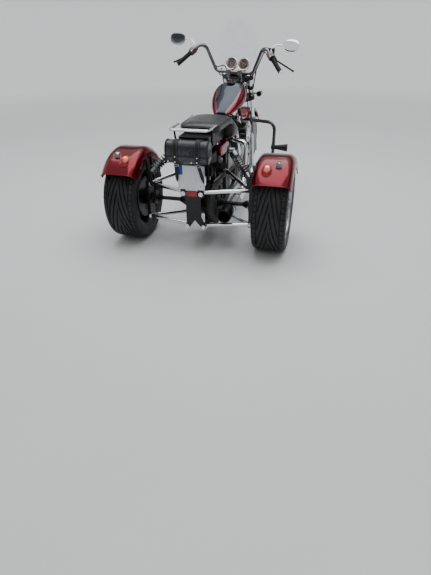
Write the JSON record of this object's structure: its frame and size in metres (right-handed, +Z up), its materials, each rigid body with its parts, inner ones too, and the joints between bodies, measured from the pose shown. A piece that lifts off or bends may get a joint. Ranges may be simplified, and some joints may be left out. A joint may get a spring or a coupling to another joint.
{
  "type": "three-wheeled cruiser motorcycle",
  "caption": "Cruiser trike: V-twin motorcycle front with steered fork, wide car-type rear wheels on wishbones, arched fenders, long seat, rack, bag and clear windshield.",
  "frame": {"origin": "middle of the floor area under the whole vehicle, on the floor", "axes": "+X to the rider's right, +Y forward, +Z up"},
  "size_m": [1.234, 2.0788, 1.3612],
  "materials": {
    "black_frame": "satin black",
    "engine_silver": "satin",
    "engine_fins": "black fins with bare edges",
    "chrome": "polished",
    "black_gloss": "gloss black",
    "tank_paint": "metallic red with a black panel",
    "red_paint": "metallic candy red",
    "black_satin": "satin black",
    "seat_leather": "grained vinyl",
    "bag_leather": "grained leather",
    "belt_rubber": "toothed belt",
    "red_lens": "clear red",
    "grey_lens": "smoked grey",
    "black_rubber": "moulded",
    "plate_blank": "blank reflective white",
    "slider_alloy": "polished",
    "clear_shield": "clear",
    "tyre": "worn tread",
    "wheel_alloy": "machined"
  },
  "bodies": {
    "chassis": {"frame": "black_frame", "engine_cases": "engine_silver", "cylinders": "engine_fins", "rocker_covers": "chrome", "pushrod_tubes": "chrome", "air_cleaner": "black_gloss", "exhaust": "chrome", "fuel_tank": "tank_paint", "tank_cap": "chrome", "side_covers": "red_paint", "rear_body": "black_satin", "seat": "seat_leather", "luggage_rack": "chrome", "tool_bag": "bag_leather", "subframe": "black_frame", "differential": "black_satin", "final_drive": "belt_rubber", "rear_plate": "black_frame", "wishbones": "chrome", "hub_carriers": "black_frame", "shocks": "chrome", "springs": "black_gloss", "rear_fender_left": "red_paint", "rear_fender_right": "red_paint", "tail_lamps": "red_lens", "rear_indicators": "grey_lens", "engine_guard": "black_gloss", "highway_pegs": "black_rubber", "foot_controls": "black_rubber", "licence_plate": "plate_blank", "rear_reflector": "red_lens"},
    "steering": {"yokes": "black_satin", "fork_tubes": "chrome", "fork_sliders": "slider_alloy", "front_fender": "red_paint", "headlamp": "chrome", "gauges": "chrome", "handlebar": "chrome", "grips": "black_rubber", "switchgear": "black_satin", "brake_hose": "black_rubber", "control_cables": "black_rubber", "mirrors": "chrome", "windshield": "clear_shield", "shield_mounts": "black_satin", "front_indicators": "black_gloss"},
    "front_wheel": {"front_tyre": "tyre", "front_rim": "chrome"},
    "rear_wheel_left": {"rear_tyre_left": "tyre", "rear_rim_left": "wheel_alloy", "half_shaft_left": "black_satin"},
    "rear_wheel_right": {"rear_tyre_right": "tyre", "rear_rim_right": "wheel_alloy", "half_shaft_right": "black_satin"}
  },
  "joints": [
    {"name": "steering", "type": "hinge", "parent": "chassis", "child": "steering", "pos_m": [0, 0.3158, 0.9], "axis": [0, -0.4924, 0.8704], "range_deg": [-28.35, 39.65]},
    {"name": "front_wheel_spin", "type": "hinge", "parent": "steering", "child": "front_wheel", "pos_m": [0.00614, 0.70974, 0.32985], "axis": [0.9951, -0.0857, -0.0485], "continuous": true},
    {"name": "rear_wheel_left_spin", "type": "hinge", "parent": "chassis", "child": "rear_wheel_left", "pos_m": [-0.494, -0.75, 0.288], "axis": [1, 0, 0], "continuous": true},
    {"name": "rear_wheel_right_spin", "type": "hinge", "parent": "chassis", "child": "rear_wheel_right", "pos_m": [0.494, -0.75, 0.288], "axis": [1, 0, 0], "continuous": true}
  ]
}
